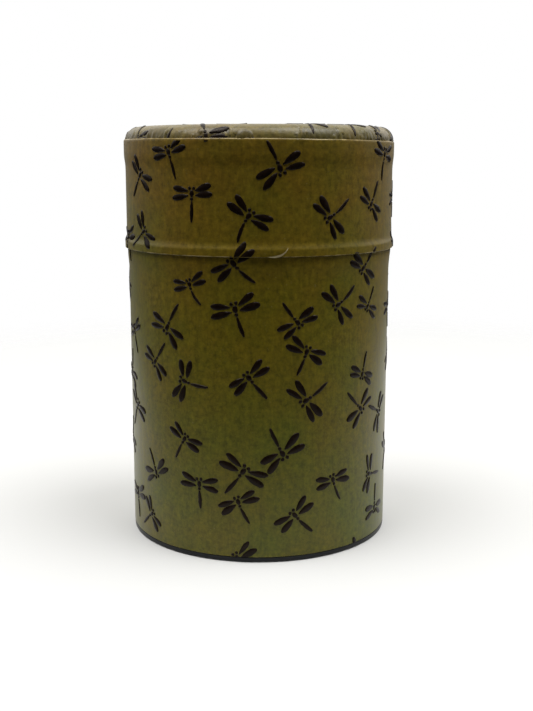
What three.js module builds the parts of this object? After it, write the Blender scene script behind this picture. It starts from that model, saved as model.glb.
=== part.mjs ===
// A paper-covered tea caddy: a rolled tinplate can with a bare neck, a press-in inner lid with a
// riveted knob, and a slip-on outer lid. The can and the outer lid are wrapped in handmade paper.
// Millimetres, +Z up. The origin is the centre of the foot ring, on the surface it stands on.

import * as THREE from 'three';

// ---- Driving dimensions -------------------------------------------------------------------

const HEIGHT = 116; // top of the shut caddy
const BODY_RADIUS = 37.5; // outside of the body paper
const SEAM_Z = 82.6; // lower edge of the outer lid, when shut
const NECK_TOP = 109; // top of the can's bare neck
const TIN = 0.3; // tinplate sheet
const PAPER = 0.35; // side papers
const TOP_PAPER = 0.3; // paper disc on the lid, and its tabs
const GLUE = 0.05; // paste under a paper, and play between fixed pieces
const SLIP = 0.2; // running clearance of both lids
const SHOULDER = 3.95; // radius of the lid's rounded edge, outside its paper
const PAN_DEPTH = 9; // of the inner lid, below the neck's edge
const KNOB_RADIUS = 7.2;
const KNOB_HEIGHT = 8;
const RIVET_RADIUS = 1.5;
const AROUND = 48; // facets of the can and lids
const AROUND_SMALL = 24; // facets of the knob and what holds it
const ROUND_STEPS = 2; // facets of a rounded corner
const ARC_STEPS = 4; // facets of a quarter circle on the lid's shoulder

// ---- Radii and heights that several pieces share ------------------------------------------

const TUBE_R = BODY_RADIUS - PAPER - GLUE; // outside of the tin tube, neck included
const TUBE_BORE = TUBE_R - TIN;
const NECK_HEM = 3.2; // height of the neck's edge that is folded in
const NECK_BORE = TUBE_BORE - TIN;

const BEAD = 0.3; // how far the stop bead stands out of the tube
const BEAD_Z = SEAM_Z - 1.4;
const BEAD_CREST = 0.4; // half the height of its flat crest
const BEAD_FOOT = 1.4; // half the height of the whole bead

const BAND_BORE = TUBE_R + SLIP;
const BAND_R = BAND_BORE + TIN;
const LID_HEM_R = BAND_R + TIN + 0.2; // over the lid's folded-out lower edge
const LID_HEM_TOP = SEAM_Z + 3.4;

const SHOULDER_Z = HEIGHT - SHOULDER; // centre of the shoulder's arc
const BAND_TOP = SHOULDER_Z - 0.1;
const PAPER_EDGE_Z = SHOULDER_Z + 0.15; // where the lid's side paper is cut off
const TAB_END_Z = SHOULDER_Z - 5; // lower end of the top paper's tabs

const PAN_R = NECK_BORE - SLIP;
const PAN_FLOOR_Z = NECK_TOP - PAN_DEPTH; // upper face of the pan's floor
const SEAT_Z = PAN_FLOOR_Z + 0.8; // upper face of its raised middle, where the knob sits
const RIVET_HOLE = RIVET_RADIUS + 0.1;
const WASHER = 0.5; // thickness

// The joins of the tube and the papers run up the back, on +Y, each along one line of facets.
const JOIN_HALF_ANGLE = Math.PI / AROUND;

const tinplate = material('tinplate', 0xb9babb, 0.32, 1);
const blackTin = material('black_tin', 0x1d2022, 0.4, 0.4);
const washi = material('washi', 0x4d430c, 0.7, 0);
const turnedMetal = material('turned_metal', 0xc2c0ba, 0.28, 1);

function material(name, color, roughness, metalness) {
  return new THREE.MeshStandardMaterial({ name, color, roughness, metalness });
}

function piece(name, geometry, finish) {
  const mesh = new THREE.Mesh(geometry, finish);
  mesh.name = name;
  return mesh;
}

// ---- Turned shapes ------------------------------------------------------------------------

// A closed outline from [radius, height, rounding] corners. A corner with no rounding is sharp.
function outline(corners) {
  const path = new THREE.Path();
  const corner = (i) => {
    const [radius, height] = corners[(i + corners.length) % corners.length];
    return new THREE.Vector2(radius, height);
  };
  const towards = (from, to, distance) => {
    return to.clone().sub(from).setLength(distance).add(from);
  };
  corners.forEach(([, , rounding = 0], i) => {
    const tip = corner(i);
    const start = towards(tip, corner(i - 1), rounding);
    const end = towards(tip, corner(i + 1), rounding);
    if (i === 0) path.moveTo(start.x, start.y);
    else path.lineTo(start.x, start.y);
    if (rounding > 0) path.quadraticCurveTo(tip.x, tip.y, end.x, end.y);
  });
  path.closePath();
  return path.getPoints(ROUND_STEPS);
}

// Turns a closed outline about Z, with its faces outwards whichever way the outline runs.
function turned(points, around = AROUND) {
  const ordered = THREE.ShapeUtils.isClockWise(points) ? points.toReversed() : points;
  return new THREE.LatheGeometry(ordered, around).rotateX(Math.PI / 2);
}

// Pushes part of a turned skin out, or in, along the join up the back.
function thickenJoin(geometry, amount, onSkin) {
  const position = geometry.getAttribute('position');
  const point = new THREE.Vector3();
  for (let i = 0; i < position.count; i++) {
    point.fromBufferAttribute(position, i);
    const radius = Math.hypot(point.x, point.y);
    const fromBack = Math.abs(Math.atan2(point.x, point.y));
    if (fromBack > JOIN_HALF_ANGLE || !onSkin(radius, point.z)) continue;
    point.x *= 1 + amount / radius;
    point.y *= 1 + amount / radius;
    position.setXYZ(i, point.x, point.y, point.z);
  }
  return geometry;
}

// The sheet of the lid's top, from its flat middle round the shoulder, as the two arcs of its
// outer and inner faces. `between` draws what joins them at the lower end.
function shoulderSheet(top, radius, thickness, outerRadius, between) {
  const centre = outerRadius - radius;
  const path = new THREE.Path();
  path.moveTo(0, top);
  path.lineTo(centre, top);
  path.absarc(centre, top - radius, radius, Math.PI / 2, 0, true);
  between(path);
  path.absarc(centre, top - radius, radius - thickness, 0, Math.PI / 2, false);
  path.lineTo(0, top - thickness);
  return path.getPoints(ARC_STEPS);
}

// ---- The can ------------------------------------------------------------------------------

// Rolled tinplate tube: plain below, a rolled bead that stops the lid, and a bare neck with its
// edge folded in. The join runs up the inside at the back.
function bodyTube() {
  const foot = 2 * TIN;
  const joinFoot = 5; // the join is dressed flat below this, inside the base's channel
  const tube = turned(outline([
    [TUBE_R, foot],
    [TUBE_R, BEAD_Z - BEAD_FOOT],
    [TUBE_R + BEAD, BEAD_Z - BEAD_CREST],
    [TUBE_R + BEAD, BEAD_Z + BEAD_CREST],
    [TUBE_R, BEAD_Z + BEAD_FOOT],
    [TUBE_R, NECK_TOP, 0.25],
    [NECK_BORE, NECK_TOP, 0.25],
    [NECK_BORE, NECK_TOP - NECK_HEM],
    [TUBE_BORE, NECK_TOP - NECK_HEM],
    [TUBE_BORE, BEAD_Z + BEAD_FOOT],
    [TUBE_BORE + BEAD, BEAD_Z + BEAD_CREST],
    [TUBE_BORE + BEAD, BEAD_Z - BEAD_CREST],
    [TUBE_BORE, BEAD_Z - BEAD_FOOT],
    [TUBE_BORE, joinFoot + TIN],
    [TUBE_BORE, joinFoot],
    [TUBE_BORE, foot],
  ]));
  const onBore = (radius, z) => {
    return Math.abs(radius - TUBE_BORE) < 0.02 && z > joinFoot + 0.1 && z < BEAD_Z;
  };
  return piece('body_tube', thickenJoin(tube, -TIN, onBore), tinplate);
}

// Pressed base, black outside. Its rim is a channel that holds the tube's lower edge, and the
// flat bottom of the channel is the foot ring. The panel stands clear of the table.
function basePlate() {
  const channelR = TUBE_R + GLUE + TIN;
  const channelBore = TUBE_BORE - GLUE - TIN;
  const lipTop = 1.4;
  const panelZ = 2.7;
  const raisedZ = panelZ + 0.6;
  const raisedR = 27;
  return piece('base_plate', turned(outline([
    [0, raisedZ],
    [raisedR, raisedZ],
    [raisedR + 1, panelZ],
    [channelBore, panelZ],
    [channelBore, 0],
    [channelR, 0, 0.4],
    [channelR, lipTop],
    [channelR - TIN, lipTop],
    [channelR - TIN, TIN],
    [channelBore + TIN, TIN],
    [channelBore + TIN, panelZ + TIN],
    [raisedR + 1, panelZ + TIN],
    [raisedR, raisedZ + TIN],
    [0, raisedZ + TIN],
  ])), blackTin);
}

// Side paper of the can, one sheet with a pasted lap up the back. It rides over the stop bead.
function bodyWrap() {
  const inner = BODY_RADIUS - PAPER;
  const top = SEAM_Z - 0.3;
  const bottom = 1.5;
  const crestStart = BEAD_Z - BEAD_CREST;
  const wrap = turned(outline([
    [BODY_RADIUS, bottom],
    [BODY_RADIUS, BEAD_Z - 2 * BEAD_FOOT],
    [BODY_RADIUS + BEAD, crestStart],
    [BODY_RADIUS + BEAD, top],
    [inner + BEAD, top],
    [inner + BEAD, crestStart - 0.1],
    [inner, BEAD_Z - 1.5 * BEAD_FOOT],
    [inner, bottom],
  ]));
  const onPlain = (radius) => Math.abs(radius - BODY_RADIUS) < 0.02;
  return piece('body_wrap', thickenJoin(wrap, 0.8 * PAPER, onPlain), washi);
}

// ---- The inner lid ------------------------------------------------------------------------

// Pressed pan that plugs the neck. Its flange rests on the neck's edge, and its middle is raised
// for the knob.
function innerLidPan() {
  const flangeZ = NECK_TOP + GLUE;
  const flangeR = TUBE_R - 0.1;
  const raisedR = 24;
  return piece('inner_lid_pan', turned(outline([
    [RIVET_HOLE, SEAT_Z],
    [raisedR, SEAT_Z],
    [raisedR + 1.5, PAN_FLOOR_Z],
    [PAN_R - TIN, PAN_FLOOR_Z, 0.7],
    [PAN_R - TIN, flangeZ + TIN],
    [flangeR, flangeZ + TIN],
    [flangeR, flangeZ],
    [PAN_R, flangeZ],
    [PAN_R, PAN_FLOOR_Z - TIN, 1],
    [raisedR + 1.5, PAN_FLOOR_Z - TIN],
    [raisedR, SEAT_Z - TIN],
    [RIVET_HOLE, SEAT_Z - TIN],
  ])), tinplate);
}

// Turned knob with a waist for the fingertips, bored from below for the rivet.
function knob() {
  const base = SEAT_Z + GLUE;
  const top = base + KNOB_HEIGHT;
  const waistR = 3.4;
  const footR = 4.8;
  const boreTop = base + 5;
  return piece('knob', turned(outline([
    [0, top],
    [KNOB_RADIUS, top, 1.6],
    [KNOB_RADIUS, top - 3.4, 1],
    [waistR, base + 3],
    [waistR, base + 1.8],
    [footR, base + 1],
    [footR, base],
    [RIVET_HOLE, base],
    [RIVET_HOLE, boreTop],
    [0, boreTop],
  ]), AROUND_SMALL), turnedMetal);
}

function knobWasher() {
  const top = SEAT_Z - TIN - GLUE;
  const washerR = 4;
  return piece('knob_washer', turned(outline([
    [RIVET_HOLE, top],
    [washerR, top],
    [washerR, top - WASHER],
    [RIVET_HOLE, top - WASHER],
  ]), AROUND_SMALL), tinplate);
}

// Rivet from below, through washer and pan and up into the knob.
function knobRivet() {
  const headTop = SEAT_Z - TIN - 2 * GLUE - WASHER;
  const headR = 2.8;
  const shankTop = SEAT_Z + 4.8;
  return piece('knob_rivet', turned(outline([
    [0, shankTop],
    [RIVET_RADIUS, shankTop],
    [RIVET_RADIUS, headTop],
    [headR, headTop],
    [headR, headTop - 1, 0.7],
    [0, headTop - 1],
  ]), AROUND_SMALL), tinplate);
}

// ---- The outer lid ------------------------------------------------------------------------

// Rolled tinplate band that slips over the neck, its lower edge folded out.
function lidBand() {
  const foldZ = SEAM_Z + 0.1;
  return piece('lid_band', turned(outline([
    [BAND_BORE, foldZ, 0.2],
    [LID_HEM_R, foldZ, 0.3],
    [LID_HEM_R, LID_HEM_TOP],
    [BAND_R, LID_HEM_TOP + 0.6],
    [BAND_R, BAND_TOP],
    [BAND_BORE, BAND_TOP],
  ])), tinplate);
}

// Pressed top of the lid. Its flange is soldered inside the band, and its shoulder stands flush
// with the band.
function lidCrown() {
  const flangeR = BAND_BORE - GLUE;
  const flangeEnd = BAND_TOP - 1.7;
  const ledge = BAND_TOP + GLUE;
  const top = HEIGHT - TOP_PAPER - GLUE;
  const sheet = shoulderSheet(top, top - SHOULDER_Z, TIN, BAND_R, (path) => {
    path.lineTo(BAND_R, ledge);
    path.lineTo(flangeR, ledge);
    path.lineTo(flangeR, flangeEnd);
    path.lineTo(flangeR - TIN, flangeEnd);
    path.lineTo(flangeR - TIN, SHOULDER_Z);
  });
  return piece('lid_crown', turned(sheet), tinplate);
}

// Top paper of the lid: a disc worked down over the shoulder, with its edge cut into tabs that
// lie on the band, under the side paper.
function lidTopWrap() {
  const outerRadius = BAND_R + GLUE + TOP_PAPER;
  const sheet = shoulderSheet(HEIGHT, SHOULDER, TOP_PAPER, outerRadius, (path) => {
    path.lineTo(outerRadius, TAB_END_Z);
    path.lineTo(outerRadius - TOP_PAPER, TAB_END_Z);
  });
  return piece('lid_top_wrap', turned(sheet), washi);
}

// Side paper of the lid, over the tabs above and over the band's folded edge below, with a
// pasted lap up the back.
function lidSideWrap() {
  const plain = BAND_R + GLUE;
  const overTabs = plain + TOP_PAPER + GLUE;
  const overHem = LID_HEM_R + GLUE;
  const wrap = turned(outline([
    [overHem, SEAM_Z],
    [overHem + PAPER, SEAM_Z, 0.2],
    [overHem + PAPER, LID_HEM_TOP - 1],
    [plain + PAPER, LID_HEM_TOP + 1.6],
    [plain + PAPER, TAB_END_Z - 1.8],
    [overTabs + PAPER, TAB_END_Z + 0.4],
    [overTabs + PAPER, PAPER_EDGE_Z],
    [overTabs, PAPER_EDGE_Z],
    [overTabs, TAB_END_Z - 0.3],
    [plain, TAB_END_Z - 1.6],
    [plain, LID_HEM_TOP + 1.2],
    [overHem, LID_HEM_TOP + 0.1],
  ]));
  const onPlain = (radius) => Math.abs(radius - plain - PAPER) < 0.02;
  return piece('lid_side_wrap', thickenJoin(wrap, 0.5 * PAPER, onPlain), washi);
}

// ---- Assembly -----------------------------------------------------------------------------

const can = new THREE.Group().add(bodyTube(), basePlate(), bodyWrap());
const innerLid = new THREE.Group().add(innerLidPan(), knob(), knobWasher(), knobRivet());
const outerLid = new THREE.Group().add(lidBand(), lidCrown(), lidTopWrap(), lidSideWrap());

export default new THREE.Group().add(can, innerLid, outerLid);
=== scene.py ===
"""A tea caddy of rolled tinplate, covered in handmade paper with raised lacquer dragonflies.

The outer lid slips over the bare neck of the can, and an inner lid with a knob plugs the neck.
Lengths in the sections are in millimetres, and become metres when a piece is finished.
"""

import random
from bisect import bisect
from math import atan2, cos, degrees, hypot, pi, radians, sin, tau

import bmesh
import bpy
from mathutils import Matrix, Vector, noise


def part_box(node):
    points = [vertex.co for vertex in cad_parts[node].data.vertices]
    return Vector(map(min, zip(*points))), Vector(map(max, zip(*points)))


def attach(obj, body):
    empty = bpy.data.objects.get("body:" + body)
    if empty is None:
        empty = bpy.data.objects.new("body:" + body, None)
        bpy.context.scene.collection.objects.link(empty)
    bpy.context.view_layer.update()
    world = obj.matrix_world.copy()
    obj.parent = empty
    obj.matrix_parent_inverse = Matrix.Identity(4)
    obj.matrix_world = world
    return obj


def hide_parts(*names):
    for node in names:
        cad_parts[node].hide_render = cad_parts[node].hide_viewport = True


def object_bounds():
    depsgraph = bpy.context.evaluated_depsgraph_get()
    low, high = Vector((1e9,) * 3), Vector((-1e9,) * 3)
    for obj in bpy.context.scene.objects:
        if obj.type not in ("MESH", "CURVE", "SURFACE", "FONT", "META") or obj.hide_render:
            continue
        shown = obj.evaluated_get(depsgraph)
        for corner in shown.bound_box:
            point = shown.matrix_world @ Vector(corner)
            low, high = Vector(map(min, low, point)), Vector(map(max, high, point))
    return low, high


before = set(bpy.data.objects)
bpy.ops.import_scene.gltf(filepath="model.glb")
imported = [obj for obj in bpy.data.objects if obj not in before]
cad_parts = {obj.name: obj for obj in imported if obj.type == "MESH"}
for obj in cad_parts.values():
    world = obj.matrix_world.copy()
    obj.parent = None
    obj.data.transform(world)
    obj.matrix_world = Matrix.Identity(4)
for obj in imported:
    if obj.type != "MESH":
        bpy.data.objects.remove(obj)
cad_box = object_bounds()


# ---- Camera -------------------------------------------------------------------------------
# A portrait view from a little above the lid, at arm's length from the can.

camera = bpy.data.objects.new("camera", bpy.data.cameras.new("camera"))
camera.location = (0, -0.3031, 0.1074)
camera.rotation_euler = (radians(90 - 10.74), 0, 0)
camera.data.lens = 52.64
camera.data.shift_x = 0.0106
camera.data.clip_start = 0.01
bpy.context.scene.collection.objects.link(camera)
bpy.context.scene.camera = camera
bpy.context.scene.view_settings.view_transform = "Standard"


# ---- Table and light ----------------------------------------------------------------------
# A pale round table top under two wide soft lights, left and right above the can. The room is
# dim in front and bright behind, so the paper stays deep in colour where it faces the view.

table_radius = 0.5
table_centre = Vector((0.02, 0.12, 0))
fade_start, fade_end = 0.15, 0.32  # how far out the table top turns clear
lamp_size = 0.7
under_glow = 0.015  # light that still comes from level and below


def feed(tree, socket, value):
    """Links a socket to another node's output, or sets it to a plain value."""
    if isinstance(value, bpy.types.NodeSocket):
        tree.links.new(value, socket)
    else:
        socket.default_value = value


def node_of(tree, kind, **inputs):
    """A new shader node, its inputs fed by name (From_Min) or by number (_0)."""
    node = tree.nodes.new(kind)
    for name, value in inputs.items():
        key = int(name[1:]) if name[1:].isdigit() else name.replace("_", " ")
        feed(tree, node.inputs[key], value)
    return node


def link(tree, output, node, name):
    """Links an output to a node's input, by the input's name."""
    tree.links.new(output, node.inputs[name])


def between(tree, value, low, high, to_low=0.0, to_high=1.0):
    """The value mapped from low..high to to_low..to_high, and held at the ends."""
    return node_of(
        tree,
        "ShaderNodeMapRange",
        Value=value,
        From_Min=low,
        From_Max=high,
        To_Min=to_low,
        To_Max=to_high,
    ).outputs["Result"]


def maths(tree, operation, *values):
    """The result of an operation, such as MULTIPLY, on numbers or links."""
    node = tree.nodes.new("ShaderNodeMath")
    node.operation = operation
    for socket, value in zip(node.inputs, values):
        feed(tree, socket, value)
    return node.outputs["Value"]


def blended(tree, factor, first, second):
    """The first shader where the factor is 0, and the second where it is 1."""
    mix = node_of(tree, "ShaderNodeMixShader", _0=factor, _1=first, _2=second)
    return mix.outputs["Shader"]


def place_of(tree):
    """A point's place in the object's own frame, in metres."""
    return node_of(tree, "ShaderNodeTexCoord").outputs["Object"]


def height_of(tree):
    """A point's height in the object's own frame, in metres."""
    return node_of(tree, "ShaderNodeSeparateXYZ", Vector=place_of(tree)).outputs["Z"]


table_mesh = bmesh.new()
bmesh.ops.create_circle(table_mesh, cap_ends=True, segments=96, radius=table_radius)
bmesh.ops.translate(table_mesh, verts=table_mesh.verts, vec=table_centre)
table = bpy.data.objects.new("table", bpy.data.meshes.new("table"))
table_mesh.to_mesh(table.data)
table_mesh.free()
bpy.context.scene.collection.objects.link(table)

table_paint = bpy.data.materials.new("table_paint")
table_paint.use_nodes = True
tree = table_paint.node_tree
tree.nodes.clear()
away = node_of(tree, "ShaderNodeVectorMath", _0=place_of(tree), _1=table_centre)
away.operation = "DISTANCE"
fade = node_of(
    tree,
    "ShaderNodeMapRange",
    Value=away.outputs["Value"],
    From_Min=fade_start,
    From_Max=fade_end,
)
fade.interpolation_type = "SMOOTHSTEP"
from_below = node_of(tree, "ShaderNodeNewGeometry").outputs["Backfacing"]
unseen = maths(tree, "MAXIMUM", fade.outputs["Result"], from_below)
paint = node_of(tree, "ShaderNodeBsdfDiffuse", Color=(0.56, 0.56, 0.55, 1))
clear = node_of(tree, "ShaderNodeBsdfTransparent")
surface = blended(tree, unseen, paint.outputs["BSDF"], clear.outputs["BSDF"])
node_of(tree, "ShaderNodeOutputMaterial", Surface=surface)
table.data.materials.append(table_paint)

room = bpy.data.worlds.new("room")
bpy.context.scene.world = room
room.use_nodes = True
tree = room.node_tree
tree.nodes.clear()
direction = node_of(tree, "ShaderNodeTexCoord").outputs["Generated"]
axes = node_of(tree, "ShaderNodeSeparateXYZ", Vector=direction)
upwards = between(tree, axes.outputs["Z"], 0.0, 0.3)
backwards = between(tree, axes.outputs["Y"], -0.5, 0.6, 0.10, 1.5)
brightness = maths(tree, "MULTIPLY_ADD", upwards, backwards, under_glow)
walls = node_of(tree, "ShaderNodeBackground", Color=(1, 0.99, 0.97, 1), Strength=brightness)
backdrop = node_of(tree, "ShaderNodeBackground", Color=(1, 1, 1, 1), Strength=1.0)
seen = node_of(tree, "ShaderNodeLightPath").outputs["Is Camera Ray"]
surroundings = blended(tree, seen, walls.outputs["Background"], backdrop.outputs["Background"])
node_of(tree, "ShaderNodeOutputWorld", Surface=surroundings)

for side, energy, place in (
    ("left", 9.0, Vector((-0.38, -0.18, 1.02))),
    ("right", 9.6, Vector((0.40, -0.15, 1.02))),
):
    light = bpy.data.objects.new(f"{side}_light", bpy.data.lights.new(f"{side}_light", "AREA"))
    light.data.energy = energy
    light.data.shape = "DISK"
    light.data.size = lamp_size
    light.location = place
    light.rotation_euler = (-place).to_track_quat("-Z", "Y").to_euler()
    bpy.context.scene.collection.objects.link(light)


# ---- Base plate ---------------------------------------------------------------------------
# A disc of tinplate pressed with a sunken panel and a channel rim that grips the lower edge of
# the tube. It is lacquered black on the outside, and rubbed to bare metal at the foot.

mm = 0.001
around = 256  # facets round a turned piece
tin = 0.3
glue = 0.05  # paste, solder or bare play between fixed pieces
play = 0.2  # between the neck and each of the lids


def outline(*corners, steps=4):
    """Points (radius, height) through the corners. A corner's third number rounds it."""
    points = []
    for i, (r, z, *rounding) in enumerate(corners):
        tip = Vector((r, z))
        if not rounding:
            points.append(tip)
            continue
        before = Vector(corners[i - 1][:2])
        after = Vector(corners[(i + 1) % len(corners)][:2])
        start = tip + (before - tip).normalized() * rounding[0]
        end = tip + (after - tip).normalized() * rounding[0]
        for k in range(steps + 1):
            t = k / steps
            points.append(start * (1 - t) ** 2 + tip * (2 * t * (1 - t)) + end * t**2)
    return points


def held(value):
    """The value, kept between 0 and 1."""
    return min(1, max(0, value))


def turned(points, steps=around):
    """A closed shell turned about Z from an outline that closes on itself or on the axis."""
    shell = bmesh.new()
    verts = [shell.verts.new((p.x, 0, p.y)) for p in points]
    ends_on_axis = points[0].x == 0 and points[-1].x == 0
    followers = verts[1:] if ends_on_axis else verts[1:] + verts[:1]
    edges = [shell.edges.new(pair) for pair in zip(verts, followers)]
    bmesh.ops.spin(
        shell,
        geom=verts + edges,
        cent=(0, 0, 0),
        axis=(0, 0, 1),
        angle=tau,
        steps=steps,
        use_merge=True,
    )
    bmesh.ops.remove_doubles(shell, verts=shell.verts, dist=1e-4)
    bmesh.ops.recalc_face_normals(shell, faces=shell.faces)
    return shell


def finished(name, shape, *materials, crease=35):
    """The bmesh, in millimetres, as an object in metres with smooth faces between its creases."""
    bmesh.ops.scale(shape, vec=(mm, mm, mm), verts=shape.verts)
    piece = bpy.data.objects.new(name, bpy.data.meshes.new(name))
    shape.to_mesh(piece.data)
    shape.free()
    piece.data.shade_smooth()
    piece.data.set_sharp_from_angle(angle=radians(crease))
    for material in materials:
        piece.data.materials.append(material)
    bpy.context.scene.collection.objects.link(piece)
    return piece


def new_material(name, **settings):
    """A material, its node tree and its Principled shader, with plain settings on the shader."""
    material = bpy.data.materials.new(name)
    material.use_nodes = True
    shader = material.node_tree.nodes["Principled BSDF"]
    for setting, value in settings.items():
        shader.inputs[setting.replace("_", " ")].default_value = value
    return material, material.node_tree, shader


def grain(tree, scale, detail=3.0, stretch=(1, 1, 1), roughness=0.5, distortion=0.0):
    """Noise on the object's own coordinates: scale is its features per metre."""
    place = node_of(tree, "ShaderNodeMapping", Vector=place_of(tree), Scale=stretch)
    return node_of(
        tree,
        "ShaderNodeTexNoise",
        Vector=place.outputs["Vector"],
        Scale=scale,
        Detail=detail,
        Roughness=roughness,
        Distortion=distortion,
    ).outputs["Fac"]


def ramp(tree, factor, *stops):
    """A colour ramp through (position, colour) stops."""
    node = node_of(tree, "ShaderNodeValToRGB", Fac=factor)
    elements = node.color_ramp.elements
    while len(elements) < len(stops):
        elements.new(0.5)
    for element, (position, colour) in zip(elements, stops):
        element.position = position
        element.color = (*colour, 1)
    return node.outputs["Color"]


def bumped(tree, shader, height, strength, distance):
    """Relief in the shader's normal; distance is its depth in metres."""
    node = node_of(tree, "ShaderNodeBump", Height=height, Strength=strength, Distance=distance)
    link(tree, node.outputs["Normal"], shader, "Normal")


black_tin, tree, shader = new_material("black_tin", Metallic=0.0, Specular_IOR_Level=0.2)
at_the_foot = between(tree, height_of(tree), 0.0, 0.0004, 1, 0)
rubbing = maths(tree, "MULTIPLY", at_the_foot, between(tree, grain(tree, 900), 0.45, 0.7))
colour = ramp(tree, rubbing, (0.0, (0.009, 0.010, 0.011)), (1.0, (0.3, 0.29, 0.28)))
link(tree, colour, shader, "Base Color")
link(tree, rubbing, shader, "Metallic")
link(tree, between(tree, grain(tree, 2500), 0.3, 0.7, 0.28, 0.42), shader, "Roughness")
bumped(tree, shader, grain(tree, 1500, 5), 0.3, 0.00003)

foot_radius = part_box("base_plate")[1].x / mm
channel = foot_radius - 1.0
panel_z = 3.3  # undersides of the sunken panel and of the step round it
step_z = 2.7
base_plate = finished(
    "base_plate_pressed",
    turned(
        outline(
            (0, panel_z),
            (26, panel_z, 1.0),
            (28, step_z, 1.0),
            (channel, step_z, 0.6),
            (channel, 0, 0.25),
            (foot_radius, 0, 0.4),
            (foot_radius, 1.4, 0.1),
            (foot_radius - tin, 1.4),
            (foot_radius - tin, tin),
            (channel + tin, tin),
            (channel + tin, step_z + tin, 0.3),
            (28, step_z + tin, 1.0),
            (26, panel_z + tin, 1.0),
            (0, panel_z + tin),
        )
    ),
    black_tin,
)
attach(base_plate, "can")
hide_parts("base_plate")


# ---- Tube ---------------------------------------------------------------------------------
# The can's wall, rolled from bright tinplate with a lock seam up the back. A rolled bead stops
# the lid, and the neck above it is bare, with its edge folded in.

tinplate, tree, shader = new_material("tinplate", Metallic=1.0)
rolling = grain(tree, 40, 2, stretch=(1, 1, 8), roughness=0.4)
spangle = grain(tree, 240, 4)
colour = ramp(tree, spangle, (0.3, (0.60, 0.60, 0.59)), (0.7, (0.72, 0.72, 0.70)))
link(tree, colour, shader, "Base Color")
link(tree, between(tree, rolling, 0.25, 0.75, 0.26, 0.34), shader, "Roughness")
bumped(tree, shader, rolling, 0.05, 0.00002)

neck_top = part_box("body_tube")[1].z / mm
neck_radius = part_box("inner_lid_pan")[1].x / mm + 0.1
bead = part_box("body_tube")[1].x / mm - neck_radius
seam_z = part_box("lid_side_wrap")[0].z / mm
bead_z = seam_z - 1.4
bore = neck_radius - tin
fold = 3.2  # how far the neck's edge is folded in and down
lock_seam_half_width = 1.6


def back_angle(point):
    """How far round from the back line a point is, in radians, positive towards +X."""
    return atan2(point.x, point.y)


def push_out(vert, amount):
    """Moves a vertex away from the axis."""
    radius = hypot(vert.co.x, vert.co.y)
    vert.co.x *= 1 + amount / radius
    vert.co.y *= 1 + amount / radius


tube = turned(
    outline(
        (neck_radius, 0.6),
        (neck_radius, bead_z - 1.8, 0.5),
        (neck_radius + bead, bead_z - 0.5, 0.5),
        (neck_radius + bead, bead_z + 0.5, 0.5),
        (neck_radius, bead_z + 1.4, 0.5),
        (neck_radius, neck_top, 0.3),
        (bore - tin, neck_top, 0.3),
        (bore - tin, neck_top - fold, 0.1),
        (bore, neck_top - fold - 0.1),
        (bore, bead_z + 1.4, 0.5),
        (bore + bead, bead_z + 0.5, 0.5),
        (bore + bead, bead_z - 0.5, 0.5),
        (bore, bead_z - 1.8, 0.5),
        (bore, 5.5),
        (bore, 5.0),
        (bore, 0.6),
    ),
    steps=360,
)
for vert in tube.verts:
    radius = hypot(vert.co.x, vert.co.y)
    on_bore = abs(radius - bore) < 0.02 and 5.2 < vert.co.z < bead_z
    if on_bore and abs(back_angle(vert.co)) * bore < lock_seam_half_width:
        push_out(vert, -tin)
body_tube = finished("body_tube_rolled", tube, tinplate)
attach(body_tube, "can")
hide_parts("body_tube")


# ---- Can paper ----------------------------------------------------------------------------
# One sheet of olive handmade paper pasted round the tube, over the stop bead, with a lap up the
# back. Its cut edges show the paler fibres inside, and its face is sized to a soft sheen.

paper = 0.35
lap_half_width = 2.5
lap_slope = 2.0  # width of the ramp before it
free_edge_lean = 0.03  # how far the lap's edge slopes as it drops to the sheet
sheet_steps = 384
caddy_height = cad_box[1][2]
pale_speck = (0.17, 0.14, 0.055, 1)
raw_paper = (0.36, 0.28, 0.12, 1)


def mixed(tree, factor, first, second, blend="MIX"):
    """Two colours mixed by a factor."""
    node = tree.nodes.new("ShaderNodeMix")
    node.data_type = "RGBA"
    node.blend_type = blend
    for number, value in ((0, factor), (6, first), (7, second)):
        feed(tree, node.inputs[number], value)
    return node.outputs[2]


def tinted(tree, base, tint):
    """The product of two colours."""
    return mixed(tree, 1, base, tint, blend="MULTIPLY")


def attribute(tree, name):
    """What the mesh's vertices carry under a name, or 0 where they carry nothing."""
    node = tree.nodes.new("ShaderNodeAttribute")
    node.attribute_name = name
    return node.outputs["Fac"]


# The paper's dye, with painted warm light: the stops grow redder and warmer towards the top of the
# caddy.
side_dye_and_warm_light = [
    (0.1, (0.087, 0.082, 0.0036)),
    (0.55, (0.107, 0.087, 0.0016)),
    (1.0, (0.141, 0.089, 0.0048)),
]


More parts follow.
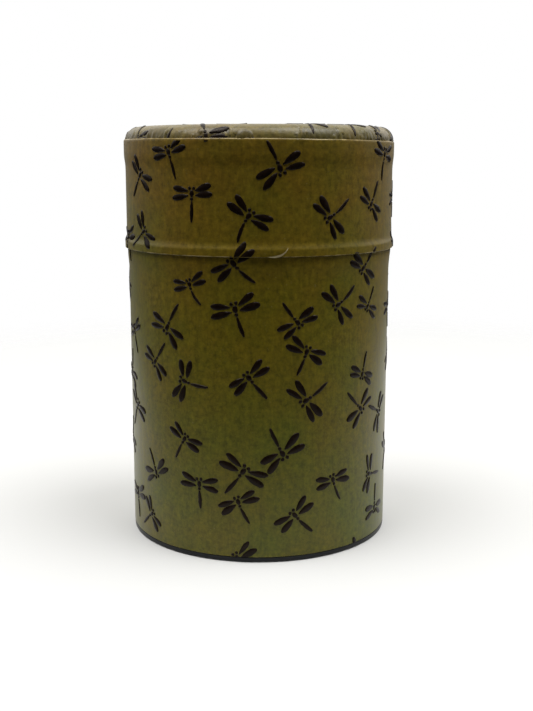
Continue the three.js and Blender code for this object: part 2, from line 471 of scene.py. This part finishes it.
def washi(name, dye_and_light_stops=side_dye_and_warm_light, gloss=0.28):
    """Olive handmade paper, its colour given from the can's foot (0) to the lid's top (1): its
    dye, and, on the can and the lid's strip, painted warm light that makes it redder towards the
    top.

    The attribute cut_edge is 1 where the sheet is cut or rubbed. A second attribute darkens or
    lightens it: a random tone, and painted shade and shadow lines on the lid's tabs and patches.
    """
    material, tree, shader = new_material(
        name, Specular_IOR_Level=gloss, Sheen_Weight=0.1, Sheen_Roughness=0.4
    )
    # The dye by height, with the painted warm light that its stops carry.
    dye_and_light = ramp(tree, between(tree, height_of(tree), 0.0, caddy_height), *dye_and_light_stops)
    clouds = grain(tree, 45, 5, roughness=0.62)
    stains = ramp(tree, clouds, (0.3, (1.16, 0.98, 1.15)), (0.7, (0.84, 1.01, 0.94)))
    flecks = grain(tree, 750, 4, roughness=0.78)
    mottling = ramp(tree, flecks, (0.3, (0.60, 0.62, 0.66)), (0.7, (1.40, 1.38, 1.34)))
    up_fibres = grain(tree, 900, 3, stretch=(1, 1, 0.16), roughness=0.6, distortion=0.8)
    across_fibres = grain(tree, 900, 3, stretch=(0.3, 0.3, 1.6), roughness=0.6, distortion=0.8)
    streaks = ramp(tree, up_fibres, (0.3, (0.86, 0.86, 0.86)), (0.7, (1.14, 1.14, 1.14)))
    # Random tone, and painted shade and shadow from the mesh's tone attribute.
    toned_and_shaded = tinted(tree, dye_and_light, between(tree, attribute(tree, "tone_and_shade"), -1, 1, 0, 2))
    face = tinted(tree, tinted(tree, tinted(tree, toned_and_shaded, stains), mottling), streaks)
    specks = between(tree, grain(tree, 2100, 2), 0.69, 0.75, 0, 0.6)
    speckled = mixed(tree, specks, face, pale_speck)
    wear = between(tree, grain(tree, 300, 3), 0.44, 0.6, 0.05, 0.9)
    ragged = maths(tree, "MULTIPLY", attribute(tree, "cut_edge"), wear)
    link(tree, mixed(tree, ragged, speckled, raw_paper), shader, "Base Color")
    link(tree, between(tree, flecks, 0.3, 0.7, 0.32, 0.44), shader, "Roughness")
    bumped(tree, shader, maths(tree, "ADD", up_fibres, across_fibres), 0.4, 0.00006)
    return material


def lap_rise(across):
    """How far the lap stands up, 0 to 1, at a distance round from the back line."""
    if not -lap_half_width - lap_slope < across <= lap_half_width:
        return 0
    return min(1, (across + lap_half_width + lap_slope) / lap_slope)


def raise_lap(shape, thickness, skin_radius):
    """Lays the sheet's end over its start, up the back: a soft ramp, then a sharp free edge.

    Writes the attribute cut_edge along the free edge.
    """
    layer = shape.verts.layers.float.new("cut_edge")
    for vert in shape.verts:
        radius = hypot(vert.co.x, vert.co.y)
        if radius < skin_radius(vert.co.z) - 0.05:
            continue
        column = tau * radius / sheet_steps
        across = back_angle(vert.co) * radius
        past_edge = across - lap_half_width
        if abs(past_edge) < 0.5 * column:
            vert[layer] = 0.7
        if -column < past_edge <= column:
            angle = (lap_half_width + (free_edge_lean if past_edge > 0 else 0)) / radius
            vert.co.x, vert.co.y = radius * sin(angle), radius * cos(angle)
        push_out(vert, thickness * lap_rise(across))


def mark_cut_edges(shape, is_cut):
    """Adds to the attribute cut_edge: is_cut gives 0 to 1 from a height."""
    layer = shape.verts.layers.float["cut_edge"]
    for vert in shape.verts:
        vert[layer] = max(vert[layer], is_cut(vert.co.z))


def radius_along(line):
    """A function from height to radius through (radius, height) points, lowest first."""

    def radius(z):
        for (r0, z0), (r1, z1) in zip(line, line[1:]):
            if z <= z1:
                return r0 + (r1 - r0) * held((z - z0) / (z1 - z0))
        return line[-1][0]

    return radius


can_paper = washi("washi_can")
body_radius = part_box("body_wrap")[1].x / mm - bead
wrap_top = seam_z - 0.1
wrap_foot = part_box("body_wrap")[0].z / mm
can_face = outline(
    (body_radius - 0.12, wrap_foot),
    (body_radius, wrap_foot + 0.12),
    (body_radius, bead_z - 4.2, 1.2),
    (body_radius + bead, bead_z - 0.6, 1.0),
    (body_radius + bead, wrap_top - 0.15),
    (body_radius + bead - 0.15, wrap_top),
)
can_back = outline(
    (body_radius + bead - paper, wrap_top),
    (body_radius + bead - paper, bead_z - 0.8),
    (body_radius - paper, bead_z - 2.0),
    (body_radius - paper, wrap_foot),
)
can_radius = radius_along(can_face)
can_lap = 0.8 * paper
wrap = turned(can_face + can_back, steps=sheet_steps)
raise_lap(wrap, can_lap, can_radius)
mark_cut_edges(wrap, lambda z: 1.0 if z < wrap_foot + 0.05 or z > wrap_top - 0.1 else 0.0)
body_wrap = finished("body_wrap_paper", wrap, can_paper)
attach(body_wrap, "can")
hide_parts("body_wrap")


# ---- Lacquer dragonflies on the can -------------------------------------------------------
# Black lacquer pressed through a cut stencil, so that every insect stands a little proud of the
# paper. One sheet covered can and lid before it was cut, and the design repeats half way round.

lacquer, tree, shader = new_material(
    "black_lacquer", Specular_IOR_Level=0.17, Specular_Tint=(1.0, 0.88, 0.76, 1)
)
colour = ramp(
    tree, grain(tree, 700, 4), (0.3, (0.0028, 0.0009, 0.0005)), (0.75, (0.008, 0.0034, 0.0017))
)
link(tree, colour, shader, "Base Color")
link(tree, between(tree, grain(tree, 1600), 0.3, 0.7, 0.26, 0.46), shader, "Roughness")
bumped(tree, shader, grain(tree, 1300, 3), 0.4, 0.00005)

lacquer_height = 0.2
lacquer_root = 0.08  # how far it has soaked into the paper
raggedness = 0.13  # how far its outline strays from a clean cut


# The fore and the hind wing of an insect: degrees above level, length, width, height of its root.
wings = [(24, 5.05, 1.68, 0.7), (2, 5.25, 1.82, -0.45)]
wing_root = 0.95
tail_length = 7.3
tail_root = 1.0
tail_reach = 6.6  # from the tail's root to where its bend is full


def drop(shape, start, end, width, broadest=1.0, blunt=0.7, along=8):
    """A cushion of lacquer from start to end, `along` facets long.

    Above 1, broadest moves its widest part towards the end. A low blunt squares off its tips.
    """
    grid = bmesh.ops.create_grid(shape, x_segments=along, y_segments=4, size=0.5)["verts"]
    start, end = Vector(start), Vector(end)
    line = end - start
    side = Vector((-line.y, line.x)).normalized()
    for vert in grid:
        s = (1 - cos(pi * (vert.co.x + 0.5))) / 2
        t = sin(pi * vert.co.y)
        half = width / 2 * sin(pi * s**broadest) ** blunt if 0.001 < s < 0.999 else 0
        spot = start + line * s + side * (half * t)
        crown = lacquer_height * (1 - 0.7 * abs(t) ** 3)
        vert.co = (spot.x, spot.y, crown if half > 0 else 0.3 * lacquer_height)


def dragonfly(cutting, left_back=0, right_back=0):
    """One insect, flat, head towards +Y, as uneven as a hand-cut stencil makes it.

    Its wings can be swept back, on each side, by some degrees.
    """
    shape = bmesh.new()
    for side, back in ((-1, left_back), (1, right_back)):
        angles = [radians(wing[0] - back + cutting.uniform(-4, 4)) for wing in wings]
        lengths = [wing[1] * cutting.uniform(0.94, 1.05) for wing in wings]
        for angle, length, (_, _, width, root_v) in zip(angles, lengths, wings):
            root = Vector((side * wing_root, root_v))
            tip = root + Vector((side * cos(angle), sin(angle))) * length
            drop(shape, root, tip, width * cutting.uniform(0.9, 1.1), 1.4, 0.45)
        drop(shape, (side * 0.62, 0.95), (side * 0.62, 1.95), 0.95, blunt=0.5, along=5)
    drop(shape, (0, 1.0), (0, -0.85), 1.3, blunt=0.42, along=6)
    drop(shape, (0, -0.85), (0, -1.8), 0.95, blunt=0.5, along=5)
    tail = tail_length * cutting.uniform(0.95, 1.04)
    drop(shape, (0, -1.9), (0, -tail), 1.05 * cutting.uniform(0.85, 1.1), 1.1, 0.38, along=12)
    bmesh.ops.remove_doubles(shape, verts=shape.verts, dist=0.003)
    underside = bmesh.ops.extrude_face_region(shape, geom=shape.faces[:], use_keep_orig=True)
    for item in underside["geom"]:
        if isinstance(item, bmesh.types.BMVert):
            item.co.z = -lacquer_root
    bmesh.ops.recalc_face_normals(shape, faces=shape.faces)
    return shape


def cut(shape, point, normal):
    """Cuts away what lies beyond a plane, on the side its normal points to, and closes the cut."""
    kept = bmesh.ops.bisect_plane(
        shape,
        geom=shape.verts[:] + shape.edges[:] + shape.faces[:],
        plane_co=point,
        plane_no=normal,
        clear_outer=True,
        dist=1e-5,
    )
    rims = [item for item in kept["geom_cut"] if isinstance(item, bmesh.types.BMEdge)]
    if rims:
        bmesh.ops.holes_fill(shape, edges=rims, sides=0)


def press(shape, heading, size, bend, lay):
    """Turns an insect to its heading, bends its tail, and lays each point by lay(u, v, w)."""
    turn_cos, turn_sin = cos(radians(heading)), sin(radians(heading))
    for vert in shape.verts:
        u, v, w = vert.co
        ragged = noise.noise_vector(Vector((u, v, heading)) * 1.7) * raggedness
        u, v = u + ragged.x, v + ragged.y
        if v < -tail_root:
            u += bend * ((-tail_root - v) / tail_reach) ** 2
        u, v = size * (u * turn_cos - v * turn_sin), size * (u * turn_sin + v * turn_cos)
        vert.co = lay(u, v, w)


def round_the_side(angle, height, radius, lap=0.0):
    """Lays flat points on a turned face, from a spot `angle` degrees right of the front."""

    def lay(u, v, w):
        z = height + v
        turn = radians(angle) + u / body_radius
        from_back = (tau - turn) % tau - pi
        r = radius(z) + w + lap * lap_rise(from_back * radius(z))
        return Vector((r * sin(turn), -r * cos(turn), z))

    return lay


# Each insect: degrees right of the front, height, heading (0 has its tail straight down, and
# 90 has it to the right), size, how far the tail's tip bends sideways, and, where the wings are
# swept back, by how many degrees on the left and on the right.
scattered = [
    (-16.6, 116.8, 60, 1.0, 0.2),
    (-37.5, 109, 16, 0.97, 0.0),
    (-57, 103, -38, 1.0, 0.2),
    (-27, 98.5, 0, 0.98, -0.2, 12, 0),
    (8, 105, -156, 1.08, 0.3, 12, 0),
    (-4, 93, -32, 1.0, 1.3),
    (29, 92.5, 120, 1.0, 1.2, 18, 0),
    (52, 95.5, 150, 0.95, 0.3, 0, 20),
    (62, 108.5, -10, 1.0, 0.2),
    (80, 97, 20, 0.9, 0.4),
    (-55, 88, -57, 0.95, 0.4, 0, -15),
    (-73, 86, 6, 1.0, 0.2),
    (-10, 80.8, 42, 1.05, 1.1, 5, 8),
    (-29, 75, 18, 0.85, 2.3),
    (-9.5, 69, 15, 1.08, 0.5, 5, 0),
    (-41, 63, 150, 1.05, -0.3),
    (-49, 53, 141, 0.95, 0.2),
    (-32, 49, 75, 1.0, 0.9),
    (-4, 51, 38, 1.0, 0.4, 15, 10),
    (15.5, 65.5, -140, 0.95, -0.4, 0, 18),
    (19.5, 57.5, -20, 0.95, -0.6, 0, 22),
    (19.5, 44.5, 121, 1.05, 0.6, 16, 0),
    (34, 69.5, 120, 1.0, 1.4, 20, 0),
    (52, 68, 148, 0.85, 0.3, 20, 0),
    (48, 78.5, 136, 1.0, 0.6, 20, 0),
    (49, 49.5, 166, 0.9, -0.4, 0, 18),
    (48, 40, -130, 1.0, -0.5, 0, 22),
    (64, 37, -116, 1.0, 0.3),
    (78, 66, 12, 0.95, 0.5),
    (-69, 60, 20, 0.9, 0.4),
    (-76, 47, 168, 1.0, 0.3),
    (-67, 38.5, -35, 1.05, 0.5),
    (-32.5, 33, -31, 0.9, 0.4),
    (-50, 21.5, -157, 0.95, 0.4, 30, 18),
    (-25.5, 21, 2, 0.97, 0.2, 0, 17),
    (-6.5, 25.5, -36, 1.08, -0.4, 18, 0),
    (-8.5, 17, 22, 0.92, 0.7, 22, 10),
    (9.5, 30.5, -152, 1.08, -0.3, 20, 0),
    (15, 13, 40, 1.0, 0.7, 10, 8),
    (32.5, 21.5, 17, 0.93, 0.9, 0, 22),
    (56, 20, 80, 0.95, 0.2),
    (62, 9, 176, 0.95, 0.2),
    (80, 24, -30, 1.0, 0.3),
    (-54, 8.5, -54, 0.9, 0.4),
    (-69, 12, 8, 1.0, 0.3),
    (-9, 1.2, 32, 0.95, 0.5, 20, 0),
    (48, -2.5, -40, 1.0, 0.3),
    (-80, 27, 165, 0.95, 0.3),
    (-84, 72, -30, 1.0, 0.4),
    (84, 84, 150, 0.95, 0.4),
    (83, 51, 35, 0.95, 0.4),
]
free_edge = pi - lap_half_width / body_radius
insect_reach = 9.0


def cut_at_the_lap(insect, angle):
    """Keeps what lies on the insect's own side of the sheet's free edge, up the back."""
    from_edge = (radians(angle) - free_edge + pi) % tau - pi
    if abs(from_edge) < insect_reach / body_radius:
        beyond = -1 if from_edge > 0 else 1
        tangent = Vector((cos(free_edge), sin(free_edge), 0))
        cut(insect, (0, 0, 0), beyond * tangent)


def gathered(insects):
    """Insects, each in a mesh of its own, as one mesh."""
    sheet = bmesh.new()
    scrap = bpy.data.meshes.new("scrap")
    for insect in insects:
        insect.to_mesh(scrap)
        insect.free()
        sheet.from_mesh(scrap)
    bpy.data.meshes.remove(scrap)
    bmesh.ops.recalc_face_normals(sheet, faces=sheet.faces)
    return sheet


def pattern_on(radius, lap, lowest, highest):
    """Every insect that reaches a face between two heights, cut off at the edges of the sheet."""
    for repeat in (0, 180):
        for number, (angle, height, heading, size, bend, *swept) in enumerate(scattered):
            if not lowest - insect_reach < height < highest + insect_reach:
                continue
            insect = dragonfly(random.Random(number), *swept)
            lay = round_the_side(angle + repeat, height, radius, lap)
            press(insect, heading, size, bend, lay)
            cut(insect, (0, 0, lowest), (0, 0, -1))
            cut(insect, (0, 0, highest), (0, 0, 1))
            cut_at_the_lap(insect, angle + repeat)
            yield insect


can_insects = finished(
    "lacquer_on_can",
    gathered(pattern_on(can_radius, can_lap, wrap_foot + 0.05, wrap_top - 0.05)),
    lacquer,
    crease=60,
)
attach(can_insects, "can")


# ---- Inner lid ----------------------------------------------------------------------------
# A pressed tinplate pan that plugs the neck, its flange resting on the neck's edge. A ring bead
# stiffens the floor round the raised middle, and a rivet from below holds the turned knob.

pan_low, pan_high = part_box("inner_lid_pan")
pan_radius = neck_radius - 2 * tin - play
flange_top = pan_high.z / mm
flange_radius = pan_high.x / mm
pan_floor = pan_low.z / mm + tin
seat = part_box("knob")[0].z / mm - glue
rivet_hole = 1.6
pan = turned(
    outline(
        (rivet_hole, seat),
        (23.6, seat, 0.6),
        (25.0, pan_floor, 0.6),
        (pan_radius - tin, pan_floor, 0.9),
        (pan_radius - tin, flange_top, 0.35),
        (flange_radius - 0.1, flange_top),
        (flange_radius, flange_top - 0.1),
        (flange_radius, flange_top - tin),
        (pan_radius, flange_top - tin, 0.1),
        (pan_radius, pan_floor - tin, 1.1),
        (25.0, pan_floor - tin, 0.6),
        (23.6, seat - tin, 0.6),
        (rivet_hole, seat - tin),
    )
)
inner_lid_pan = finished("inner_lid_pan_pressed", pan, tinplate)
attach(inner_lid_pan, "inner_lid")
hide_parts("inner_lid_pan")

turned_metal, tree, shader = new_material("turned_metal", Metallic=1.0)
tool_marks = grain(tree, 3000, 3, stretch=(0.15, 0.15, 1))
colour = ramp(tree, tool_marks, (0.3, (0.62, 0.61, 0.58)), (0.7, (0.74, 0.73, 0.70)))
link(tree, colour, shader, "Base Color")
link(tree, between(tree, tool_marks, 0.3, 0.7, 0.2, 0.34), shader, "Roughness")
bumped(tree, shader, tool_marks, 0.3, 0.00003)

knob_low, knob_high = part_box("knob")
knob_foot = knob_low.z / mm
knob_top = knob_high.z / mm
knob_radius = knob_high.x / mm
knob = finished(
    "knob_turned",
    turned(
        outline(
            (0, knob_top - 0.25),
            (3.0, knob_top - 0.22),
            (knob_radius - 2.4, knob_top, 0.3),
            (knob_radius, knob_top, 1.5),
            (knob_radius, knob_top - 3.0, 1.2),
            (4.6, knob_top - 4.0, 0.9),
            (3.5, knob_foot + 2.4, 0.9),
            (4.8, knob_foot + 1.1, 0.3),
            (4.8, knob_foot, 0.15),
            (rivet_hole, knob_foot),
            (rivet_hole, knob_foot + 5),
            (0, knob_foot + 5),
            steps=6,
        ),
        steps=96,
    ),
    turned_metal,
)
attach(knob, "inner_lid")
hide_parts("knob")

washer_low, washer_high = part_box("knob_washer")
knob_washer = finished(
    "knob_washer_stamped",
    turned(
        outline(
            (rivet_hole, washer_high.z / mm),
            (washer_high.x / mm, washer_high.z / mm, 0.08),
            (washer_high.x / mm, washer_low.z / mm, 0.15),
            (rivet_hole, washer_low.z / mm),
        ),
        steps=64,
    ),
    tinplate,
)
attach(knob_washer, "inner_lid")
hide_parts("knob_washer")

rivet_low, rivet_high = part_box("knob_rivet")
rivet_head = washer_low.z / mm - glue
knob_rivet = finished(
    "knob_rivet_headed",
    turned(
        outline(
            (0, rivet_high.z / mm),
            (1.5, rivet_high.z / mm, 0.2),
            (1.5, rivet_head),
            (rivet_high.x / mm, rivet_head, 0.1),
            (rivet_high.x / mm, rivet_low.z / mm, 0.8),
            (0, rivet_low.z / mm),
        ),
        steps=64,
    ),
    tinplate,
)
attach(knob_rivet, "inner_lid")
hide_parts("knob_rivet")


# ---- Outer lid, tinplate ------------------------------------------------------------------
# A rolled band with its lower edge folded out, and a pressed crown soldered inside its top.
# Both are bare inside; outside, only the underside of the fold can be seen.

band_low, band_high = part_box("lid_band")
hem_radius = band_high.x / mm
band_bore = neck_radius + play
band_radius = band_bore + tin
band_foot = band_low.z / mm
band_top = band_high.z / mm
hem_top = seam_z + 2.8
lid_band = finished(
    "lid_band_rolled",
    turned(
        outline(
            (band_bore, band_foot, 0.25),
            (hem_radius, band_foot, 0.35),
            (hem_radius, hem_top, 0.2),
            (band_radius, hem_top + 0.6, 0.3),
            (band_radius, band_top),
            (band_bore, band_top),
        )
    ),
    tinplate,
)
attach(lid_band, "outer_lid")
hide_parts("lid_band")

crown_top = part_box("lid_crown")[1].z / mm
crown_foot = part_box("lid_crown")[0].z / mm
shoulder_z = band_top + 0.1  # where the wall starts to round over into the top
crown_round = crown_top - shoulder_z


def shoulder_arc(centre_r, centre_z, radius, steps=14):
    """Points (radius, height) down a quarter circle, from its top to its outer side."""
    quarter = [pi / 2 * (1 - k / steps) for k in range(steps + 1)]
    return [Vector((centre_r + radius * cos(a), centre_z + radius * sin(a))) for a in quarter]


crown_centre = band_radius - crown_round
solder_radius = band_bore - glue
crown = (
    outline((0, crown_top), (20, crown_top))
    + shoulder_arc(crown_centre, shoulder_z, crown_round)
    + outline(
        (band_radius, band_top + glue),
        (solder_radius, band_top + glue),
        (solder_radius, crown_foot),
        (solder_radius - tin, crown_foot),
    )
    + shoulder_arc(crown_centre, shoulder_z, crown_round - tin)[::-1]
    + outline((20, crown_top - tin), (0, crown_top - tin))
)
lid_crown = finished("lid_crown_pressed", turned(crown), tinplate)
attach(lid_crown, "outer_lid")
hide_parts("lid_crown")


# ---- Outer lid, top paper -----------------------------------------------------------------
# A disc of the same paper pasted over the top and worked down round the shoulder. Its edge is
# snipped into tabs, which lap over one another in uneven pleats before they go under the side
# paper.

top_dye = [(0.0, (0.100, 0.074, 0.012)), (1.0, (0.100, 0.074, 0.012))]
lid_paper = washi("washi_lid")
lid_top_paper = washi("washi_lid_top", top_dye, gloss=0.35)
top_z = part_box("lid_top_wrap")[1].z / mm
top_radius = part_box("lid_top_wrap")[1].x / mm
tab_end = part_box("lid_top_wrap")[0].z / mm
top_paper = 0.3
top_round = top_z - shoulder_z
top_centre = top_radius - top_round
pleat_depth = 0.26
pleat_length = 4.6  # how far up the shoulder the pleats reach
pleat_fade = 1.6
patch_depth = 0.15
patch_bevel = 0.07  # share of a patch that its rim takes up
# The dark line round a patch is painted shadow.
patch_shadow_rim = 0.16  # share of it that the dark line round it takes up

# Where each tab's edge lies over the tab before it, in degrees right of the front. The ones at
# the front were snipped widest.
snip = random.Random(21)
tab_edges = [-180, -168, -153, -139, -121, -104, -90, -77, -64, -52, -40, -24, -11.5, 16.5, 33, 47]
while tab_edges[-1] < 165:
    tab_edges.append(tab_edges[-1] + snip.uniform(9, 19))

# Every other tab is painted darker and the rest a little lighter: painted shade and sheen for tabs
# that lie at other slants to the light. A small random tone on each keeps any two from being quite
# alike.
tab_tones_and_shades = [
    (-0.24 if number % 2 else 0.06) + random.Random(number).uniform(-0.06, 0.06)
    for number in range(len(tab_edges))
]

# Scraps that patch a gap between tabs: degrees right of the front, half width and height.
patches = [(-5.2, 2.2, 2.5), (62, 2.0, 2.2), (137, 2.3, 2.6), (-97, 2.2, 2.4), (-171, 2.4, 2.3)]


def right_of_front(point):
    """Degrees round from the front line, positive towards +X."""
    return degrees(atan2(point.x, -point.y))


def tab_lift(angle, above_edge):
    """How proud the pleats stand, how near a tab's edge is (0 to 1), and the tab's tone with its
    painted shade and shadow.

    A place is given in degrees right of the front and in millimetres up from the shoulder's foot.
    """
    leaning = angle - 1.6 * (above_edge - 3) * sin(angle * 2.3)
    leaning = (leaning + 180) % 360 - 180
    last = bisect(tab_edges, leaning) - 1
    start, end = (tab_edges + [180])[last : last + 2]
    share = (leaning - start) / (end - start)
    deep = held((pleat_length - above_edge) / pleat_fade)
    lift = pleat_depth * deep * (1 - share) ** 1.5
    # Painted shadow: darker just before the next tab's edge, where that tab laps over this one.
    tone_and_shade = deep * (tab_tones_and_shades[last] - (0.3 if share > 0.97 else 0))
    for centre, half_width, height in patches:
        across = radians((angle - centre + 180) % 360 - 180) * top_radius / half_width
        inside = 1 - hypot(across, max(0, above_edge) / height)
        lift += patch_depth * held(inside / patch_bevel)
        # Each patch gets painted shade inside it, and a darker painted shadow line round its rim.
        if inside > 0:
            tone_and_shade = -0.45 if inside < patch_shadow_rim else -0.22
    return lift, deep if leaning - start < 0.7 else 0, tone_and_shade


def crinkle(point):
    """Small wrinkles, most at the sides, left where damp paper was worked round a corner."""
    strain = 0.35 + (point.x / top_radius) ** 2
    return strain * (noise.noise(point * 0.8) * 0.06 + noise.noise(point * 2.4) * 0.05)


top = turned(
    outline((0, top_z), (12, top_z), (24, top_z), (31, top_z))
    + shoulder_arc(top_centre, shoulder_z, top_round, steps=20)
    + outline((top_radius, shoulder_z - 1.5), (top_radius, tab_end))
    + outline((top_radius - top_paper, tab_end), (top_radius - top_paper, shoulder_z - 1.5))
    + shoulder_arc(top_centre, shoulder_z, top_round - top_paper)[::-1]
    + outline((31, top_z - top_paper), (12, top_z - top_paper), (0, top_z - top_paper)),
    steps=720,
)
cut_edge = top.verts.layers.float.new("cut_edge")
# This attribute carries the tabs' random tone, their painted shade and sheen, and painted shadow
# lines.
tab_tone_and_shade = top.verts.layers.float.new("tone_and_shade")
for vert in top.verts:
    radius = hypot(vert.co.x, vert.co.y)
    rise = Vector((radius - top_centre, vert.co.z - shoulder_z))
    if rise.x <= 0 or vert.co.z < shoulder_z - 0.3 or rise.length < top_round - 0.1:
        continue
    above_edge = top_round * atan2(rise.y, rise.x)
    outwards = rise.normalized()
    worked = min(1, (top_round * pi / 2 - above_edge) / 2)
    lift, on_edge, vert[tab_tone_and_shade] = tab_lift(right_of_front(vert.co), above_edge)
    lift += worked * (crinkle(vert.co) - 0.35 * pleat_depth)
    vert[cut_edge] = 0.35 * on_edge
    push_out(vert, outwards.x * lift)
    vert.co.z += outwards.y * lift
lid_top_wrap = finished("lid_top_wrap_paper", top, lid_top_paper, crease=50)
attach(lid_top_wrap, "outer_lid")
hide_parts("lid_top_wrap")


# ---- Outer lid, side paper ----------------------------------------------------------------
# A strip pasted round the band, over the tabs above and over the folded edge below, with its
# lap at the back. The hand-cut upper edge wavers, and both edges show pale fibres.

edge_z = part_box("lid_side_wrap")[1].z / mm
lid_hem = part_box("lid_side_wrap")[1].x / mm
lid_plain = band_radius + glue + paper
lid_over_tabs = lid_plain + top_paper + glue
lid_face = outline(
    (lid_hem - 0.04, seam_z),
    (lid_hem, seam_z + 0.04),
    (lid_hem, seam_z + 0.14),
    (lid_hem, seam_z + 0.24),
    (lid_hem, hem_top - 0.9, 0.35),
    (lid_plain, hem_top + 0.4, 0.8),
    (lid_plain, tab_end - 1.8, 1.0),
    (lid_over_tabs, tab_end + 1.0, 1.0),
    (lid_over_tabs, edge_z - 1.2, 0.5),
    (lid_over_tabs - 0.02, edge_z - 0.3),
    (lid_over_tabs - 0.10, edge_z - 0.12),
    (lid_over_tabs - 0.25, edge_z),
    steps=6,
)
lid_back = outline(
    (lid_over_tabs - paper, edge_z),
    (lid_over_tabs - paper, tab_end),
    (lid_plain - paper, tab_end - 1.6),
    (lid_plain - paper, hem_top + 1.2),
    (hem_radius + glue, hem_top),
    (hem_radius + glue, seam_z),
)
lid_radius = radius_along(lid_face)
lid_lap = 0.5 * paper
strip = turned(lid_face + lid_back, steps=sheet_steps)
raise_lap(strip, lid_lap, lid_radius)
mark_cut_edges(strip, lambda z: 0.8 if z > edge_z - 0.2 or z < seam_z + 0.15 else 0.0)
uneven = 4  # width of the margin that follows the cut
for vert in strip.verts:
    share = held((vert.co.z - edge_z + uneven) / uneven)
    around_rim = Vector((vert.co.x, vert.co.y, 0))
    lean = 0.12 - 0.3 * vert.co.x / lid_over_tabs
    vert.co.z += share**3 * (lean + 0.10 * noise.noise(around_rim * 0.12))
    tabs_below = held((vert.co.z - tab_end + 1) / 2)
    push_out(vert, 0.06 * tabs_below * noise.noise(around_rim * 0.35))
lid_side_wrap = finished("lid_side_wrap_paper", strip, lid_paper)
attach(lid_side_wrap, "outer_lid")
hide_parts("lid_side_wrap")


# ---- Lacquer dragonflies on the outer lid -------------------------------------------------
# The side strip carries on the can's design across the seam. The top disc was cut from another
# part of the sheet, so its insects run down the shoulder and under the strip.

side_insects = finished(
    "lacquer_on_lid_side",
    gathered(pattern_on(lid_radius, lid_lap, seam_z + 0.15, edge_z - 0.3)),
    lacquer,
    crease=60,
)
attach(side_insects, "outer_lid")

# Each insect: degrees right of the front, distance from the middle of the flat sheet, heading
# (0 has its tail outwards), size, the bend of its tail, and how far its wings are swept back.
on_top = [
    (-58, 39.8, 205, 0.8, 0.3),
    (-39.5, 43.6, 165, 1.0, 0.3),
    (-20.5, 39.3, -155, 1.0, 0.4),
    (-6, 45.3, 70, 1.0, 0.4),
    (22, 32.4, -6, 0.9, 0.3, 0, 35),
    (44, 33, -20, 0.9, 0.3),
    (58, 38.4, 60, 0.8, 0.4, 20, 20),
    (80, 39, 30, 1.0, 0.3),
    (105, 39, -120, 1.0, 0.4),
    (130, 36, 15, 0.95, 0.3),
    (158, 40, 140, 1.0, 0.4),
    (185, 37, -40, 1.0, 0.3),
    (212, 39, 100, 0.95, 0.4),
    (240, 36, -150, 1.0, 0.3),
    (268, 39, 20, 1.0, 0.4),
    (-12, 27, 30, 1.0, 0.4),
    (50, 22, -100, 1.05, 0.5),
    (88, 26, 160, 0.95, 0.3),
    (135, 23, 60, 1.0, 0.4),
    (180, 25, -20, 1.0, 0.4),
    (225, 24, 120, 1.05, 0.3),
    (275, 26, -70, 0.95, 0.4),
    (318, 25, 15, 1.0, 0.4),
    (15, 11, 70, 1.0, 0.5),
    (140, 10, -35, 1.0, 0.4),
    (255, 11, 150, 1.05, 0.4),
]


def over_the_top(angle, distance):
    """Lays flat points on the lid's top and down round its shoulder."""

    def lay(u, v, w):
        reach = distance - v
        turn = radians(angle) + atan2(u, reach)
        length = hypot(u, reach)
        bent = max(0, length - top_centre) / top_round
        r = min(length, top_centre) + (top_round + w) * sin(min(bent, pi / 2))
        z = shoulder_z + (top_round + w) * cos(min(bent, pi / 2))
        z -= max(0, bent - pi / 2) * top_round
        return Vector((r * sin(turn), -r * cos(turn), z))

    return lay


def top_pattern():
    """Every insect on the top disc, cut off where the side paper covers it."""
    for number, (angle, distance, heading, size, bend, *swept) in enumerate(on_top):
        insect = dragonfly(random.Random(100 + number), *swept)
        press(insect, heading, size, bend, over_the_top(angle, distance))
        cut(insect, (0, 0, edge_z - 0.15), (0, 0, -1))
        yield insect


top_insects = finished("lacquer_on_lid_top", gathered(top_pattern()), lacquer, crease=60)
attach(top_insects, "outer_lid")


# ---- Loose fibre --------------------------------------------------------------------------
# A sliver of undyed paper fibre that has lifted from the cut lower edge of the lid's strip. It
# starts along the edge and curls up over the face.

raw_fibre, tree, shader = new_material("raw_fibre", Roughness=0.7, Specular_IOR_Level=0.3)
colour = ramp(tree, grain(tree, 2500, 3), (0.3, (0.34, 0.28, 0.14)), (0.7, (0.50, 0.43, 0.26)))
link(tree, colour, shader, "Base Color")
fibre_start = 2.4  # to the right of the front
fibre_length = 5.6
fibre_curl = 2.3
fibre_half_width = 0.24
fibre_thickness = 0.09
fibre = bmesh.new()
for vert in bmesh.ops.create_grid(fibre, x_segments=16, y_segments=2, size=0.5)["verts"]:
    s = vert.co.x + 0.5
    half_width = fibre_half_width * sin(pi * min(0.98, max(0.02, s))) ** 0.6
    along = fibre_start + fibre_length * (s - 0.12 * s**3)
    up = 0.1 + fibre_curl * s**3 + 2 * half_width * vert.co.y
    proud = 0.1 + 0.12 * sin(pi * s)
    vert.co = round_the_side(0, seam_z, lid_radius)(along, up, proud)
bmesh.ops.solidify(fibre, geom=fibre.faces[:], thickness=fibre_thickness)
bmesh.ops.recalc_face_normals(fibre, faces=fibre.faces)
loose_fibre = finished("loose_fibre", fibre, raw_fibre)
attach(loose_fibre, "outer_lid")
